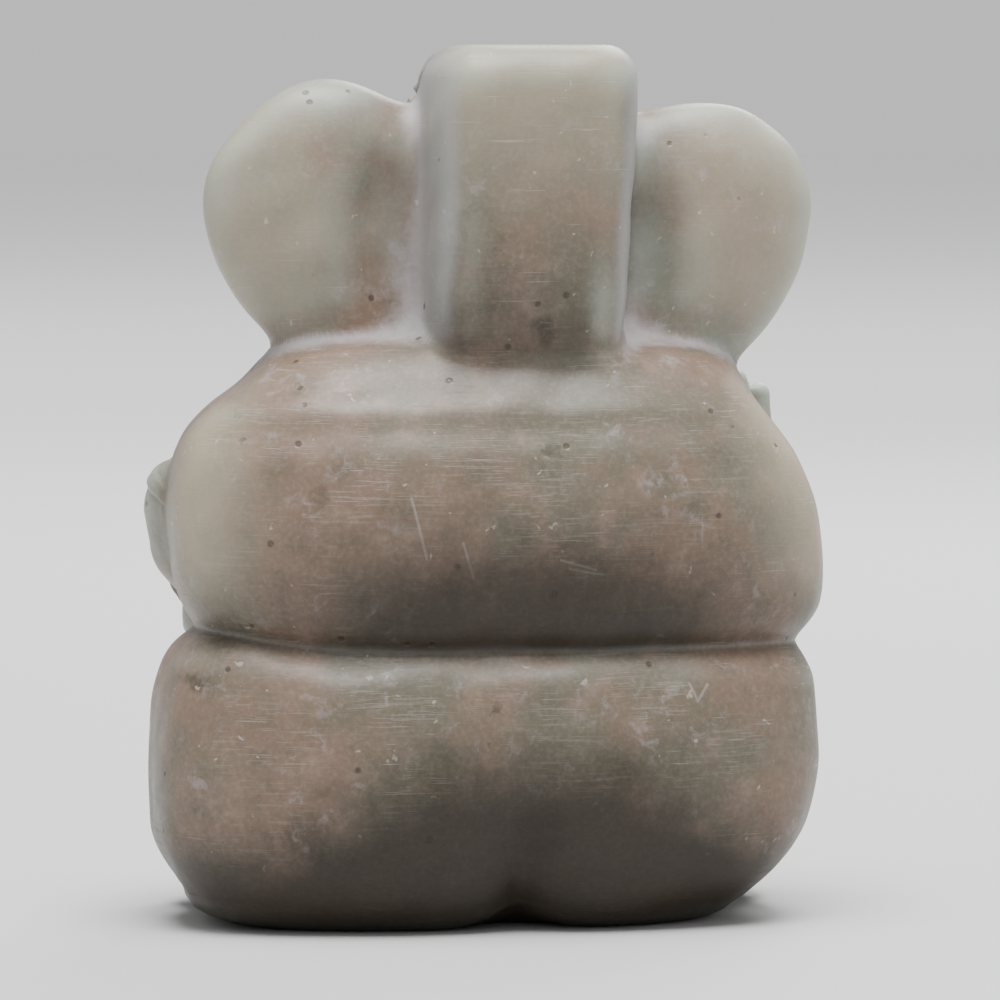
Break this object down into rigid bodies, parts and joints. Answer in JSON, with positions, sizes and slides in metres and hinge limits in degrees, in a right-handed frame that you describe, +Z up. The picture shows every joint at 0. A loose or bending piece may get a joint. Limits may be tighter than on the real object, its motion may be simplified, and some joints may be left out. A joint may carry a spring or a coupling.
{
  "type": "ganesha idol",
  "caption": "Small seated Ganesha idol hand-carved from one block of soft stone, with a plain rounded back, to stand on a shelf, desk or home altar.",
  "frame": {"origin": "middle of the underside, on the surface that the idol stands on", "axes": "+Z up, the idol faces -Y, +X is the idol's own left"},
  "size_m": [0.0595, 0.0394, 0.076],
  "materials": {
    "stone": "hand-rubbed, waxy satin, translucent pale rims"
  },
  "bodies": {
    "root": {"hips": "stone", "torso": "stone", "belly": "stone", "head": "stone", "crown": "stone", "ear_left": "stone", "ear_right": "stone", "trunk": "stone", "tusk_left": "stone", "tusk_right": "stone", "arm_left": "stone", "arm_right": "stone", "hand_left": "stone", "hand_right": "stone", "modak": "stone", "leg_left": "stone", "leg_right": "stone", "foot_left": "stone", "foot_right": "stone"}
  },
  "joints": []
}
